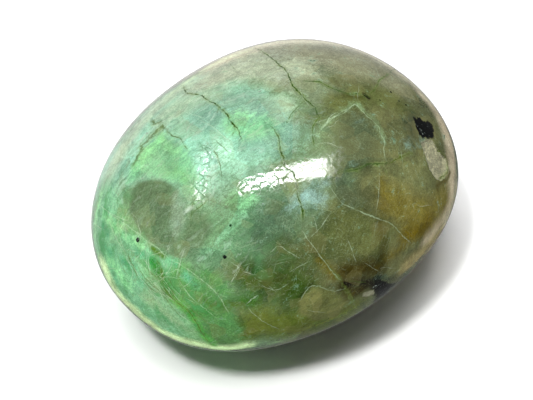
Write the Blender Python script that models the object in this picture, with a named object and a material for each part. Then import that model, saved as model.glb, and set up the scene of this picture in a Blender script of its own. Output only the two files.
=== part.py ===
"""A tumbled stone: one polished pebble of green feldspar, in metres, +Z up.

The pebble is an ovoid that tumbling wore down in broad soft faces. It lies on the small
flat spot under it, at z = 0, with its long axis along X. Near its right-hand front
shoulder a pocket of granular quartz broke out and left a shallow pit with a rough floor.
"""

import math

import bmesh
import bpy
from mathutils import Matrix, Vector, noise

MM = 0.001

# The ovoid before wear, as half sizes.
HALF_LENGTH = 16.0 * MM
HALF_WIDTH = 12.8 * MM
HALF_HEIGHT = 10.8 * MM

# Broad worn faces. Each has the azimuth and elevation that it looks towards, in degrees,
# the depth worn away at its middle, and its spread. The spread is a share of a half turn's
# rise, so 0.1 fades out over about 25 degrees and 0.3 over about 45.
WORN_FACES = (
    (0, 23, 0.96 * MM, 0.30),
    (-112, -30, 0.92 * MM, 0.22),
    (48, -45, 0.50 * MM, 0.15),
    (-74, -20, 0.45 * MM, 0.10),
    (182, -16, 0.39 * MM, 0.10),
    (89, 25, 0.36 * MM, 0.12),
)

# The flat spot that it lies on: how far it cuts into the ovoid's underside, and the
# height over which the flat rounds up into the side.
REST_DEPTH = 0.55 * MM
REST_ROUND = 0.15 * MM

# The pocket: where it opens, its half sizes along, across and into the stone, the way
# that its long side points down the surface, and the roughness of its floor.
POCKET_AZIMUTH = -52.7
POCKET_ELEVATION = 28.4
POCKET_HALF_SIZES = (1.80 * MM, 1.30 * MM, 0.36 * MM)
POCKET_TURN = 28.0
POCKET_ROUGHNESS = 0.10
POCKET_GRAIN = 0.45 * MM

SKIN_CUTS = 23
COLOUR = (0.19, 0.27, 0.14, 1.0)
POLISH_ROUGHNESS = 0.12


def direction(azimuth, elevation):
    """The unit vector at an azimuth from +X towards +Y and an elevation, in degrees."""
    azimuth, elevation = math.radians(azimuth), math.radians(elevation)
    level = math.cos(elevation)
    return Vector((level * math.cos(azimuth), level * math.sin(azimuth), math.sin(elevation)))


def resting_height(z):
    """z, or the flat spot's level below it, with a round between the two."""
    level = REST_DEPTH - HALF_HEIGHT
    above = z - level
    if above >= REST_ROUND:
        return z
    if above <= -REST_ROUND:
        return level
    return level + (above + REST_ROUND) ** 2 / (4 * REST_ROUND)


def skin_point(towards):
    """The point of the worn skin that belongs to a unit vector from the ovoid's centre."""
    point = Vector((towards.x * HALF_LENGTH, towards.y * HALF_WIDTH, towards.z * HALF_HEIGHT))
    for azimuth, elevation, depth, spread in WORN_FACES:
        looks = direction(azimuth, elevation)
        point -= looks * depth * math.exp(-(1 - towards.dot(looks)) / spread)
    point.z = resting_height(point.z)
    return point


def evenly_round(corner):
    """A point of a cube from -1 to 1 sent to the unit sphere, with faces of like size."""
    return Vector([math.tan(value * math.pi / 4) for value in corner]).normalized()


def skin_middle(bm):
    """The middle of the skin's bottom, which becomes the origin."""
    sides = [[vertex.co[axis] for vertex in bm.verts] for axis in range(3)]
    middle = [(min(side) + max(side)) / 2 for side in sides]
    return Vector((middle[0], middle[1], min(sides[2])))


def polished_stone():
    """Material of the whole pebble: green feldspar with a tumbled polish."""
    material = bpy.data.materials.new("polished_green_feldspar")
    material.use_nodes = True
    surface = material.node_tree.nodes["Principled BSDF"]
    surface.inputs["Base Color"].default_value = COLOUR
    surface.inputs["Roughness"].default_value = POLISH_ROUGHNESS
    surface.inputs["Metallic"].default_value = 0.0
    return material


def add_object(name, bm, collection):
    """A smooth-shaded object made from bm, in the collection."""
    mesh = bpy.data.meshes.new(name)
    bm.to_mesh(mesh)
    bm.free()
    mesh.shade_smooth()
    made = bpy.data.objects.new(name, mesh)
    collection.objects.link(made)
    return made


def add_pebble(collection):
    """The worn ovoid on its flat spot. Returns it with the shift that stood it there."""
    bm = bmesh.new()
    bmesh.ops.create_cube(bm, size=2)
    bmesh.ops.subdivide_edges(bm, edges=bm.edges[:], cuts=SKIN_CUTS, use_grid_fill=True)
    for vertex in bm.verts:
        vertex.co = skin_point(evenly_round(vertex.co))
    middle = skin_middle(bm)
    bmesh.ops.translate(bm, verts=bm.verts[:], vec=-middle)
    pebble = add_object("tumbled_stone", bm, collection)
    pebble.data.materials.append(polished_stone())
    return pebble, -middle


def add_pocket_cutter(collection, shift):
    """A rough flattened ball, sunk to its waist where the granular quartz broke out."""
    along, across, deep = POCKET_HALF_SIZES
    bm = bmesh.new()
    bmesh.ops.create_icosphere(bm, subdivisions=3, radius=1)
    for vertex in bm.verts:
        vertex.co = Vector((vertex.co.x * along, vertex.co.y * across, vertex.co.z * deep))
        vertex.co *= 1 + POCKET_ROUGHNESS * noise.noise(vertex.co / POCKET_GRAIN)
    cutter = add_object("pocket_cutter", bm, collection)

    opens = direction(POCKET_AZIMUTH, POCKET_ELEVATION)
    outwards = Vector((opens.x / HALF_LENGTH, opens.y / HALF_WIDTH, opens.z / HALF_HEIGHT)).normalized()
    downhill = (outwards * outwards.z - Vector((0, 0, 1))).normalized()
    sideways = outwards.cross(downhill)
    facing = Matrix((downhill, sideways, outwards)).transposed().to_4x4()
    turned = Matrix.Rotation(math.radians(POCKET_TURN), 4, "Z")
    cutter.matrix_world = Matrix.Translation(skin_point(opens) + shift) @ facing @ turned
    cutter.display_type = "WIRE"
    cutter.hide_render = True
    return cutter


def cut_pocket(pebble, cutter):
    """Takes the pocket out of the pebble's skin."""
    cut = pebble.modifiers.new("pocket", "BOOLEAN")
    cut.operation = "DIFFERENCE"
    cut.solver = "EXACT"
    cut.object = cutter


def new_collection(name):
    made = bpy.data.collections.new(name)
    bpy.context.scene.collection.children.link(made)
    return made


def main():
    for old in list(bpy.data.objects):
        bpy.data.objects.remove(old)
    stone = new_collection("Tumbled stone")
    cutters = new_collection("Cutters")
    pebble, shift = add_pebble(stone)
    cut_pocket(pebble, add_pocket_cutter(cutters, shift))


main()
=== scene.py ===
"""A tumbled pebble of green feldspar on a white board. Lengths are in metres, +Z up."""

import math
import random

import bpy
import numpy as np
from mathutils import Matrix, Vector, noise
from mathutils.bvhtree import BVHTree


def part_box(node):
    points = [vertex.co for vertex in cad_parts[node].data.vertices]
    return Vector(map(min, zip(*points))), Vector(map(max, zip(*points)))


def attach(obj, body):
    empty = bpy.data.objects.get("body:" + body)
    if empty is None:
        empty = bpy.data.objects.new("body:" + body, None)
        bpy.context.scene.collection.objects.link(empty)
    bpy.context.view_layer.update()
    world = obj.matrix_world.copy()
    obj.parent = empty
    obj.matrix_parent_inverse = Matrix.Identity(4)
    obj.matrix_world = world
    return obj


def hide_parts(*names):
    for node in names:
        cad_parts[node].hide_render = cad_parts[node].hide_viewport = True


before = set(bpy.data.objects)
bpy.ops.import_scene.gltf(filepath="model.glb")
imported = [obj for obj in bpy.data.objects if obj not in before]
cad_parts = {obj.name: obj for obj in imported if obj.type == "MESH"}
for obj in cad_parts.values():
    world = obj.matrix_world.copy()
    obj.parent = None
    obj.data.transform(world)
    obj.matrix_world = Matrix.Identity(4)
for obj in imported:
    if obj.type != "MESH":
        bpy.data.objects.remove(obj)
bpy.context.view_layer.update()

MM = 0.001

# The form, as the part's source has it: the ovoid's half sizes, and its worn faces, each with
# the azimuth and elevation that it looks towards, its depth and its spread.
HALF_SIZES = np.array((16.0, 12.8, 10.8)) * MM
WORN_FACES = (
    (0, 23, 0.96 * MM, 0.30),
    (-112, -30, 0.92 * MM, 0.22),
    (48, -45, 0.50 * MM, 0.15),
    (-74, -20, 0.45 * MM, 0.10),
    (182, -16, 0.39 * MM, 0.10),
    (89, 25, 0.36 * MM, 0.12),
)
# The flat spot that it lies on: how far it cuts into the ovoid's underside, and the round at
# its edge.
REST_DEPTH = 0.55 * MM
REST_ROUND = 0.15 * MM
# How often each side of the blank is cut.
SKIN_CUTS = 76

# The view: the photograph's frame, and where the ovoid's centre falls in it.
IMAGE_SIZE = (533, 400)
VIEW_AZIMUTH = -41.6
VIEW_ELEVATION = 48.0
VIEW_DISTANCE = 150 * MM
PIXELS_PER_METRE = 12625.0
CENTRE_PIXEL = (278.9, 193.3)
SENSOR_WIDTH = 36.0
CLIP_START = 10 * MM

# Lines on the stone. Each kind has half its width, its strength, its tint on the line scale
# (0 black green, 0.25 olive, 0.5 rust, 0.75 pale mint, 1 white), how deep it stands open, and
# how many half widths its drawing reaches to each side. A broad crack is filled by its stain.
LINE_KINDS = {
    "open crack": (0.052 * MM, 1.00, 0.09, 0.006 * MM, 10),
    "rusty crack": (0.056 * MM, 1.00, 0.33, 0.006 * MM, 10),
    "broad crack": (0.150 * MM, 0.85, 0.28, 0.0, 6),
    "healed crack": (0.044 * MM, 0.85, 0.20, 0.0, 10),
    "hair crack": (0.032 * MM, 0.75, 0.14, 0.0, 6),
    "light vein": (0.040 * MM, 0.36, 0.80, 0.0, 9),
    "pale hair": (0.028 * MM, 0.34, 0.85, 0.0, 6),
    "white vein": (0.040 * MM, 0.60, 1.00, 0.0, 6),
    "fine hair": (0.024 * MM, 0.28, 0.86, 0.0, 6),
    "green hair": (0.036 * MM, 0.60, 0.18, 0.0, 6),
}
LINE_TINTS = (
    (0.0, "#1a3410"), (0.25, "#3a5414"), (0.5, "#4a3a05"), (0.75, "#9dbb90"), (1.0, "#dfe9d8"))

# Lines of the side that the photograph shows, as points of it in pixels.
SEEN_LINES = {
    "top crack": ("open crack", (
        (255, 48), (266, 54), (276, 62), (287, 72), (292, 84), (298, 91), (306, 100), (315, 108),
        (319, 117))),
    "top crack, lower end": ("healed crack", ((319, 117), (313, 127), (313, 138), (315, 149))),
    "shoulder crack": ("open crack", (
        (183, 86), (186, 92), (193, 94), (200, 95), (208, 100), (218, 106), (227, 115), (233, 124),
        (239, 132), (242, 140))),
    "rusty node": ("broad crack", ((151, 119), (159, 124), (163, 128), (169, 132))),
    "rusty node, far end": ("healed crack", ((169, 132), (173, 136), (180, 138), (184, 145), (188, 150))),
    "left crack": ("broad crack", ((159, 128), (151, 138), (143, 145), (141, 152), (136, 160), (131, 166))),
    "pale crack": ("hair crack", ((209, 145), (216, 154), (220, 165), (222, 180))),
    "short top crack": ("hair crack", ((230, 64), (236, 71))),
    "notch crack": ("open crack", (
        (298, 80), (304, 81), (312, 81), (319, 82), (328, 86), (338, 91), (344, 92), (350, 94), (361, 94),
        (371, 98))),
    "notch line": ("healed crack", ((370, 94), (375, 89), (380, 80), (388, 74), (395, 69))),
    "middle crack": ("open crack", (
        (271, 126), (276, 132), (280, 141), (280, 149), (284, 159), (285, 166), (293, 172), (296, 180),
        (297, 188), (299, 199), (302, 209), (302, 221))),
    "middle branch": ("open crack", ((290, 171), (286, 175), (283, 181))),
    "right crack, near end": ("healed crack", ((329, 182), (339, 173), (346, 171))),
    "right crack": ("open crack", ((346, 171), (352, 170), (361, 168), (368, 164), (379, 164), (389, 163))),
    "right crack, far end": ("rusty crack", ((389, 163), (394, 161), (403, 156), (412, 153))),
    "crack into the rust": ("rusty crack", ((325, 262), (335, 274), (344, 285))),
    "crack out of the rust": ("rusty crack", ((343, 284), (349, 295), (357, 310))),
    "dotted hair": ("hair crack", ((287, 122), (293, 112), (305, 100))),
    "arch vein": ("light vein", (
        (322, 128), (327, 122), (333, 117), (342, 114), (351, 107), (356, 105), (365, 114), (373, 121),
        (379, 127), (380, 133), (384, 141), (384, 152), (386, 160))),
    "long right vein": ("light vein", (
        (330, 187), (340, 201), (349, 207), (364, 213), (376, 218), (387, 222), (396, 228), (403, 236),
        (410, 242))),
    "upright vein": ("pale hair", ((379, 173), (379, 190), (377, 207), (376, 215))),
    "lower middle vein": ("light vein", ((302, 231), (311, 243), (321, 257), (331, 270), (340, 280))),
    "middle arc": ("pale hair", ((271, 252), (279, 246), (289, 252), (299, 258))),
    "hair over the bar": ("pale hair", ((315, 144), (328, 143), (341, 148))),
    "hair by the dot": ("pale hair", ((287, 123), (290, 122), (306, 117))),
    "left vein": ("light vein", ((108, 218), (118, 241), (127, 257))),
    "rim hair": ("pale hair", ((93, 221), (102, 229))),
    "tick, long side": ("pale hair", ((231, 262), (239, 270), (228, 285))),
    "short hair a": ("pale hair", ((243, 271), (256, 275))),
    "short hair b": ("white vein", ((248, 303), (256, 296))),
    "short hair c": ("pale hair", ((269, 286), (276, 292))),
    "short hair d": ("pale hair", ((331, 212), (320, 228), (312, 236))),
    "short hair e": ("pale hair", ((348, 240), (356, 262))),
    "olive edge": ("pale hair", ((248, 308), (260, 319), (279, 329))),
    "pocket rim": ("rusty crack", ((437, 145), (439, 150), (446, 157), (448, 165), (447, 173), (440, 180))),
    "arch vein, left arm": ("light vein", ((352, 106), (340, 113), (328, 122), (319, 132))),
    "loop a": ("pale hair", ((326, 124), (330, 117), (336, 113), (341, 115))),
    "loop b": ("pale hair", ((326, 128), (333, 125), (339, 119))),
    "pale hair left of the bar": ("pale hair", ((209, 145), (204, 139), (196, 132), (188, 128))),
    "upper left hair a": ("pale hair", ((196, 118), (214, 128), (230, 142))),
    "upper left hair b": ("pale hair", ((222, 150), (238, 140), (256, 122))),
    "upper left hair c": ("pale hair", ((168, 104), (186, 112), (204, 118))),
    "low hair a": ("pale hair", ((230, 285), (236, 272), (240, 262))),
    "low hair b": ("pale hair", ((262, 286), (276, 290), (288, 284))),
    "low left hair a": ("pale hair", ((100, 205), (116, 216), (130, 222))),
    "low left hair b": ("light vein", ((118, 228), (122, 244), (128, 258))),
    "low left hair c": ("pale hair", ((130, 262), (142, 280), (160, 300))),
    "low left hair d": ("pale hair", ((128, 286), (140, 296), (156, 306))),
    "low left hair e": ("light vein", ((180, 282), (190, 296), (204, 308), (216, 318))),
    "lens edge": ("light vein", ((299, 301), (312, 286), (333, 291), (344, 289))),
    "mint band edge": ("light vein", (
        (108, 212), (122, 222), (135, 231), (146, 240), (156, 247), (167, 257), (185, 267), (208, 285),
        (220, 298), (228, 312))),
    "green vein": ("healed crack", (
        (156, 257), (162, 270), (163, 285), (172, 298), (185, 308), (195, 320), (202, 333), (212, 345))),
}

# The two shades that drift into each other under the zones.
GROUND_SHADES = ("#4f6644", "#6c8a69")

# Colour zones. Each colour has its shade, how soft its edge is drawn (0.5 takes all of the
# zone's own soft width), and how much the mottling breaks it up. They are laid one over another
# in this order. The last five have no shade: they say where a pattern shows.
ZONE_COLOURS = {
    "olive ground": ("#535837", 0.45, 0.25),
    "green ground": ("#6f9d6a", 0.45, 0.35),
    "mint ground": ("#86bca0", 0.45, 0.45),
    "tan": ("#81846a", 0.42, 0.25),
    "pale tan": ("#909a81", 0.42, 0.35),
    # The stone's pinkish grey by the right rim, lightened as a painted sheen of reflection.
    "rim grey and painted sheen": ("#c2b699", 0.45, 0.20),
    # Painted light: a pale band of reflection and glow laid along the top and right rim.
    "painted rim glow": ("#cbc6a6", 0.45, 0.20),
    "pale grey": ("#95ae90", 0.40, 0.50),
    "grey olive": ("#6a7a5f", 0.40, 0.35),
    "grey green": ("#567d59", 0.40, 0.50),
    "dull green": ("#444e2a", 0.42, 0.30),
    "olive": ("#50582f", 0.40, 0.30),
    "khaki": ("#5a5f3b", 0.40, 0.30),
    "ochre tan": ("#635d26", 0.42, 0.35),
    "low olive": ("#4b5a1a", 0.42, 0.35),
    "low tan": ("#9f9460", 0.42, 0.25),
    "moss": ("#2b400c", 0.42, 0.45),
    "deep moss": ("#142504", 0.42, 0.45),
    "slate": ("#455f46", 0.42, 0.50),
    "aqua": ("#709681", 0.38, 0.70),
    "mint": ("#6fa67b", 0.32, 0.75),
    "bright mint": ("#80c286", 0.35, 0.75),
    "pale green": ("#7c9b6f", 0.40, 0.55),
    # Painted reflection: the pale band that the room and the board make along the left rims.
    "painted rim reflection": ("#cdebae", 0.45, 0.35),
    "green": ("#4e7f44", 0.35, 0.70),
    "teal": ("#499064", 0.36, 0.70),
    "deep green": ("#4c983f", 0.34, 0.70),
    "leaf green": ("#196b20", 0.34, 0.70),
    "gold green": ("#3b6213", 0.34, 0.70),
    "bottle green": ("#2f5416", 0.40, 0.60),
    "pale aqua": ("#a0d8b8", 0.40, 0.70),
    "milk white": ("#bfd0c2", 0.25, 0.50),
    "yellow green": ("#5a8139", 0.35, 0.60),
    "smoke": ("#4d6749", 0.26, 0.35),
    "dark smoke": ("#424f37", 0.45, 0.45),
    "wedge grey": ("#6a836b", 0.34, 0.50),
    "milk": ("#74948a", 0.45, 0.90),
    "olive lens": ("#5a6034", 0.25, 0.25),
    "ochre": ("#5a4e05", 0.45, 0.35),
    "brown": ("#332d02", 0.45, 0.50),
    "rust": ("#120a02", 0.45, 0.60),
    "halo": ("#1d2e26", 0.45, 0.50),
    "white": ("#7f8068", 0.25, 0.50),
    "black": ("#040606", 0.14, 1.30),
    "grains": ("#949375", 0.12, 0.60),
    "crazed": (None, 0.0, 0.0),
    "dulled": (None, 0.0, 0.0),
    "scratched": (None, 0.0, 0.0),
    "filaments": (None, 0.0, 0.0),
    "streaks": (None, 0.0, 0.0),
}

# The zones of the side that the photograph shows, colour by colour: the colour, the radius in
# millimetres of a ribbon along the points (None fills the outline that they make), the soft
# width in millimetres, the strength, and the points in pixels.
SEEN_ZONES = {
    "olive ground": ("olive ground", None, 2.6, 1.0, (
        (300, 70), (345, 60), (400, 70), (450, 120), (465, 190), (450, 250), (400, 300), (340, 340),
        (290, 345), (262, 300), (290, 250), (330, 225), (338, 180), (330, 130))),
    "green ground": ("green ground", None, 2.0, 1.0, (
        (95, 190), (130, 200), (175, 260), (215, 292), (245, 335), (225, 352), (170, 340), (120, 300),
        (92, 240))),
    "mint ground": ("mint ground", None, 2.2, 1.0, (
        (100, 180), (130, 130), (180, 85), (235, 75), (275, 100), (290, 130), (250, 175), (200, 205),
        (180, 185), (140, 178))),
    "top ground": ("tan", None, 1.6, 1.0, (
        (205, 62), (260, 40), (330, 36), (390, 50), (430, 90), (400, 86), (350, 76), (300, 66), (250, 72),
        (215, 78))),
    "top, middle": ("tan", 1.7, 1.6, 1.0, ((300, 46), (330, 56), (362, 64), (392, 80))),
    "top, left part": ("pale tan", 2.1, 1.5, 1.0, ((205, 80), (235, 68), (262, 64), (290, 72))),
    # Pinkish grey of the stone with a painted sheen of reflection along the right rim.
    "rim by the inclusion": ("rim grey and painted sheen", 1.0, 0.9, 1.0, (
        (424, 96), (438, 114), (447, 134), (452, 158), (452, 180), (449, 202), (440, 220), (430, 236))),
    # Painted rim glow: these two paint a pale band of reflection and glow along the rim.
    "rim at the top and right": ("painted rim glow", 0.9, 1.1, 1.0, (
        (215, 64), (250, 49), (290, 41), (330, 41), (370, 51), (405, 71), (420, 84), (429, 98))),
    "rim low on the right": ("painted rim glow", 0.5, 0.9, 1.0, ((458, 186), (456, 206), (449, 230), (432, 262))),
    # Pale streaky feldspar along the left rim, lightened further as a painted sheen of reflection.
    "pale streaky rim at the left with painted sheen": ("pale grey", 1.1, 0.9, 0.9, (
        (188, 84), (164, 101), (142, 122), (124, 147), (110, 172), (102, 196))),
    "streaky shoulder": ("pale grey", 1.5, 1.0, 0.75, ((165, 116), (190, 104), (214, 100))),
    "pale patch at the top crack": ("pale grey", None, 0.7, 0.95, (
        (264, 100), (282, 96), (296, 104), (290, 118), (276, 122), (266, 112))),
    "right of the top crack": ("grey olive", None, 1.2, 1.0, (
        (292, 78), (322, 84), (345, 92), (330, 104), (312, 104), (298, 92))),
    "grey green above the bar": ("grey green", 1.0, 1.0, 0.6, (
        (278, 148), (290, 132), (305, 140), (300, 155))),
    "grey green middle": ("grey green", 2.0, 1.6, 1.0, ((190, 225), (215, 238), (238, 240), (250, 215))),
    "grey green low": ("grey green", 0.7, 0.9, 0.9, ((212, 250), (236, 258))),
    "dull green under the arch's foot": ("dull green", 0.6, 0.7, 0.75, (
        (298, 124), (312, 122), (326, 114))),
    "dull green middle": ("dull green", 1.8, 1.5, 1.0, ((292, 250), (318, 246), (345, 226))),
    "olive under the notch": ("olive", 1.0, 1.0, 1.0, ((335, 103), (362, 97), (388, 98), (403, 108))),
    "olive of the right front": ("olive", None, 1.2, 1.0, (
        (333, 196), (350, 208), (378, 220), (398, 232), (385, 250), (360, 262), (340, 258), (328, 235))),
    "khaki beside the arch": ("khaki", 0.8, 0.8, 0.7, ((372, 132), (379, 158), (372, 185))),
    "khaki right": ("khaki", None, 1.0, 1.0, (
        (392, 150), (420, 160), (432, 185), (428, 205), (405, 200), (385, 195), (384, 168))),
    "khaki by the low inclusion": ("khaki", 0.6, 0.6, 1.0, ((388, 272), (400, 264))),
    "ochre tan right": ("ochre tan", 1.3, 1.2, 1.0, ((392, 200), (412, 212), (432, 215), (444, 200))),
    "low olive": ("low olive", 1.9, 1.5, 1.0, ((232, 335), (262, 322), (300, 326), (340, 318))),
    "low tan": ("low tan", 0.9, 0.9, 1.0, ((408, 265), (420, 255), (438, 236))),
    "moss": ("moss", 1.5, 1.5, 1.0, ((248, 276), (268, 282), (285, 284), (300, 292))),
    "moss by the slate": ("moss", 0.6, 0.9, 1.0, ((262, 238), (274, 236))),
    "stain along the notch crack": ("moss", 0.08, 0.3, 0.7, ((318, 82), (340, 92), (352, 95), (366, 97))),
    "stain along the right crack": ("deep moss", 0.18, 0.35, 1.0, (
        (328, 182), (339, 173), (352, 169), (368, 165))),
    "dark corner of the rust": ("deep moss", 0.45, 0.6, 1.0, ((380, 258), (382, 272), (376, 280))),
    "slate": ("slate", 1.2, 1.3, 1.0, ((265, 227), (278, 214), (296, 222))),
    "slate right": ("slate", 0.7, 0.9, 0.7, ((335, 190), (345, 180))),
    "aqua shoulder": ("aqua", 1.7, 1.5, 1.0, ((208, 118), (228, 108), (250, 108), (262, 118))),
    "aqua middle": ("aqua", 1.4, 1.4, 0.7, ((208, 150), (230, 152), (255, 146), (285, 140), (296, 132))),
    "mint left": ("mint", None, 0.6, 1.0, (
        (126, 184), (133, 164), (144, 147), (160, 133), (176, 140), (190, 152), (200, 178), (194, 198),
        (180, 186), (160, 178), (144, 176))),
    "mint shoulder": ("mint", 1.0, 1.0, 1.0, ((236, 124), (250, 130), (262, 126))),
    "mint down the middle": ("mint", 0.5, 0.9, 0.6, ((203, 250), (226, 232), (246, 206))),
    "mint lower left": ("mint", 2.6, 1.0, 0.80, (
        (98, 210), (104, 240), (118, 270), (138, 298), (162, 320))),
    "mint band": ("mint", 0.9, 0.7, 0.85, ((106, 222), (128, 240), (146, 252), (168, 268))),
    # Bright mint along the left rim, partly a painted line of reflection.
    "bright mint with painted sheen at the left rim": ("bright mint", 0.35, 0.5, 1.0, ((101, 194), (97, 212), (95, 234))),
    "bright mint left": ("bright mint", 0.5, 0.7, 1.0, ((138, 166), (148, 152), (160, 140))),
    "bright mint shoulder": ("bright mint", 0.4, 0.8, 0.55, ((238, 112), (252, 120))),
    "bright mint by the bar": ("bright mint", 0.4, 0.6, 0.75, ((243, 205), (250, 198))),
    "bright mint band": ("bright mint", 0.3, 0.5, 0.9, ((104, 214), (118, 230), (140, 246))),
    "bright mint below the node": ("bright mint", 0.4, 0.6, 0.8, ((166, 146), (175, 154))),
    "bright mint low left": ("bright mint", 0.6, 0.7, 0.8, ((106, 250), (112, 264), (127, 284))),
    "bright mint left of the bar": ("bright mint", 0.35, 0.6, 0.8, ((232, 202), (238, 196))),
    "pale low left": ("pale green", 0.6, 0.8, 0.7, ((150, 300), (172, 318), (186, 330))),
    "pale green top": ("pale green", 0.22, 0.3, 0.85, ((118, 224), (128, 231))),
    "pale band along the arch": ("pale green", 0.16, 0.45, 0.65, (
        (318, 134), (327, 122), (340, 113), (356, 103), (365, 112), (378, 124), (383, 138))),
    # Painted reflection of the pale room along the upper left rim.
    "painted rim reflection at the upper left": ("painted rim reflection", 0.35, 0.6, 0.5, (
        (250, 50), (224, 59), (202, 71), (186, 82), (170, 95))),
    # Painted reflection of the white board along the low left rim.
    "painted board reflection on the low rim": ("painted rim reflection", 0.8, 0.7, 1.0, (
        (104, 268), (116, 292), (136, 312), (160, 331), (190, 343), (222, 348), (242, 346))),
    "green band": ("green", 1.0, 0.7, 1.0, ((180, 276), (200, 292), (216, 312), (230, 330))),
    "green left": ("green", 0.8, 1.0, 0.5, ((170, 166), (188, 182), (196, 198))),
    "green low": ("green", 1.2, 1.0, 0.9, ((178, 285), (196, 302), (216, 322), (228, 340))),
    "green by the band": ("green", 0.6, 0.6, 1.0, ((206, 276), (216, 282), (222, 290))),
    "teal cell a": ("teal", 0.30, 0.4, 0.9, ((103, 225), (108, 232))),
    "teal cell b": ("teal", 0.35, 0.5, 0.8, ((104, 246), (111, 254))),
    "teal cell c": ("teal", 0.30, 0.5, 0.8, ((122, 260), (134, 268))),
    "teal cell d": ("teal", 0.28, 0.5, 0.7, ((112, 270), (118, 282))),
    "teal cell e": ("teal", 0.35, 0.5, 0.7, ((140, 280), (152, 290))),
    "teal cell f": ("teal", 0.30, 0.5, 0.8, ((186, 276), (196, 286))),
    "teal cell g": ("teal", 0.30, 0.5, 0.7, ((168, 258), (176, 264))),
    "teal cell h": ("teal", 0.35, 0.5, 0.8, ((138, 252), (147, 258))),
    "deep green vein": ("deep green", 0.32, 0.5, 1.0, (
        (172, 298), (185, 308), (195, 320), (203, 333), (214, 345))),
    "leaf green upper": ("leaf green", 0.5, 0.6, 0.9, ((153, 262), (163, 278), (168, 292))),
    "leaf green low": ("leaf green", 0.5, 0.8, 0.7, ((192, 312), (206, 312))),
    "gold green middle": ("gold green", 0.24, 0.3, 1.0, ((152, 248), (163, 256))),
    "gold green low": ("gold green", 0.16, 0.3, 0.9, ((204, 298), (212, 306))),
    "bottle green low": ("bottle green", 0.6, 0.8, 1.0, ((223, 305), (234, 303), (252, 300))),
    "pale aqua by the streak": ("pale aqua", 0.5, 0.8, 0.9, ((222, 147), (230, 156))),
    "pale aqua round the streak": ("pale aqua", 0.3, 0.8, 0.6, ((200, 150), (206, 164))),
    "milky streak left of the wedge": ("milk white", 0.13, 0.2, 1.0, ((183, 213), (191, 208))),
    "yellow green by the crack": ("yellow green", 0.3, 0.5, 0.35, ((242, 138), (262, 128))),
    "smoke block": ("smoke", None, 0.45, 1.0, (
        (130, 194), (138, 183), (152, 179), (167, 181), (178, 190), (176, 206), (170, 222), (176, 240),
        (182, 258), (168, 255), (152, 244), (139, 230), (130, 213))),
    "smoke right of the wedge": ("smoke", None, 0.7, 0.9, (
        (190, 206), (206, 212), (212, 226), (206, 244), (194, 258), (178, 258), (180, 240), (186, 222))),
    "smoke by the arch's foot": ("smoke", 0.4, 0.6, 0.6, ((303, 132), (314, 128))),
    "smoke arch": ("dark smoke", None, 1.1, 0.9, (
        (353, 111), (368, 120), (378, 134), (380, 150), (368, 166), (345, 170), (334, 158), (334, 138),
        (342, 122))),
    "smoke under the arch": ("dark smoke", 0.7, 0.8, 0.85, ((340, 172), (342, 190), (352, 200))),
    "wedge": ("wedge grey", None, 0.6, 1.0, ((174, 192), (188, 204), (184, 226), (176, 240), (170, 222))),
    "wedge, low": ("wedge grey", 0.25, 0.5, 0.4, ((176, 236), (182, 252))),
    # Milky feldspar below the bar, lightened further as a painted haze of reflection.
    "milky spot with painted haze": ("milk", 0.5, 0.8, 1.0, ((300, 200), (310, 194), (318, 198))),
    "milky arms with painted haze": ("milk", 0.25, 0.6, 0.8, ((288, 208), (304, 204), (316, 190), (326, 182))),
    "milky patch left of the pocket": ("milk", 0.3, 0.8, 0.5, ((408, 143), (416, 141), (424, 140))),
    "milky edge of the pocket": ("milk", 0.12, 0.35, 0.5, ((425, 148), (428, 160), (434, 172))),
    "olive lens": ("olive lens", None, 0.4, 1.0, (
        (299, 301), (312, 286), (333, 291), (345, 300), (338, 316), (315, 321), (300, 313))),
    "ochre": ("ochre", 0.7, 0.9, 1.0, ((406, 236), (422, 230), (428, 222))),
    "ochre tail": ("ochre", 0.35, 0.7, 0.8, ((388, 258), (404, 246))),
    "ochre by the upright vein": ("ochre", 0.3, 0.6, 0.7, ((382, 178), (383, 208))),
    "ochre down to the rust": ("ochre", 0.28, 0.5, 0.9, ((320, 260), (334, 276))),
    "brown strip": ("brown", 0.4, 0.8, 0.85, ((380, 224), (384, 246), (380, 264))),
    "brown above the rust": ("brown", 0.7, 0.8, 1.0, ((344, 272), (362, 268), (378, 268))),
    "brown by the rust": ("brown", 0.5, 0.5, 1.0, ((344, 284), (350, 295), (362, 289))),
    "stain down to the rust": ("brown", 0.14, 0.35, 0.7, ((308, 242), (322, 260), (340, 280))),
    "stain under the notch": ("brown", 0.14, 0.3, 0.7, ((344, 96), (352, 97), (362, 98))),
    "stain under the pocket": ("brown", 0.16, 0.25, 1.0, (
        (450, 172), (447, 180), (441, 182), (437, 186), (438, 190))),
    "rust": ("rust", 0.40, 0.55, 1.0, ((346, 284), (358, 281), (370, 283), (378, 288))),
    "rust edge of the lens": ("rust", 0.10, 0.30, 0.8, ((300, 297), (308, 289), (312, 284))),
    "dark halo": ("halo", 0.5, 0.9, 1.0, ((413, 118), (411, 126), (414, 134))),
    "low dark halo": ("halo", 0.25, 0.6, 0.9, ((378, 278), (390, 279), (402, 277))),
    # A pale fleck in the black inclusion, partly a painted glint.
    "white fleck with a painted glint": ("white", 0.05, 0.10, 1.0, ((419, 126), (421, 128))),
    "white grain": ("white", None, 0.2, 1.0, (
        (362, 293), (368, 291), (374, 290), (374, 294), (368, 296), (363, 297))),
    "black inclusion": ("black", None, 0.28, 1.0, (
        (414, 118), (420, 118), (424, 121), (429, 121), (433, 125), (434, 132), (433, 138), (427, 138),
        (422, 137), (418, 133), (415, 127))),
    "low black inclusion": ("black", None, 0.25, 1.0, (
        (374, 281), (378, 279), (384, 281), (392, 283), (398, 281), (400, 284), (393, 292), (385, 298),
        (377, 304), (372, 306), (375, 297), (374, 290))),
    "granular pocket": ("grains", None, 0.25, 1.0, (
        (421, 143), (426, 140), (432, 140), (436, 146), (440, 150), (441, 154), (446, 158), (448, 166),
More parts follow.
